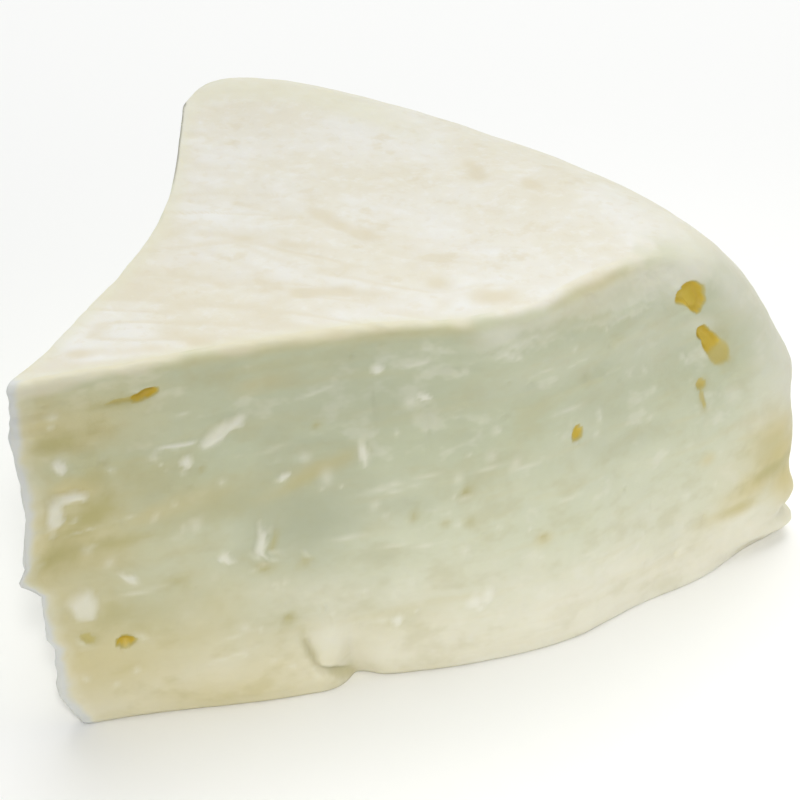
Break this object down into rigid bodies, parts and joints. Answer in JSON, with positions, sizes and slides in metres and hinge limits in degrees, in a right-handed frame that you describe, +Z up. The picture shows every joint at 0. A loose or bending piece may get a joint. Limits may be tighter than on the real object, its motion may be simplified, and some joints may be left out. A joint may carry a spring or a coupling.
{
  "type": "fresh white cheese wedge",
  "caption": "Hand-cut wedge of a low fresh white cheese wheel, with two knife-cut faces, a round-shouldered rim and a flat foot.",
  "frame": {"origin": "middle of the wedge's box, on the flat foot that it rests on", "axes": "+Z up; +X along the front cut, from the apex to the rim; -Y out of the front cut"},
  "size_m": [0.09, 0.086, 0.0428],
  "materials": {
    "cheese": "moist, soft satin"
  },
  "bodies": {
    "root": {"cheese": "cheese"}
  },
  "joints": []
}
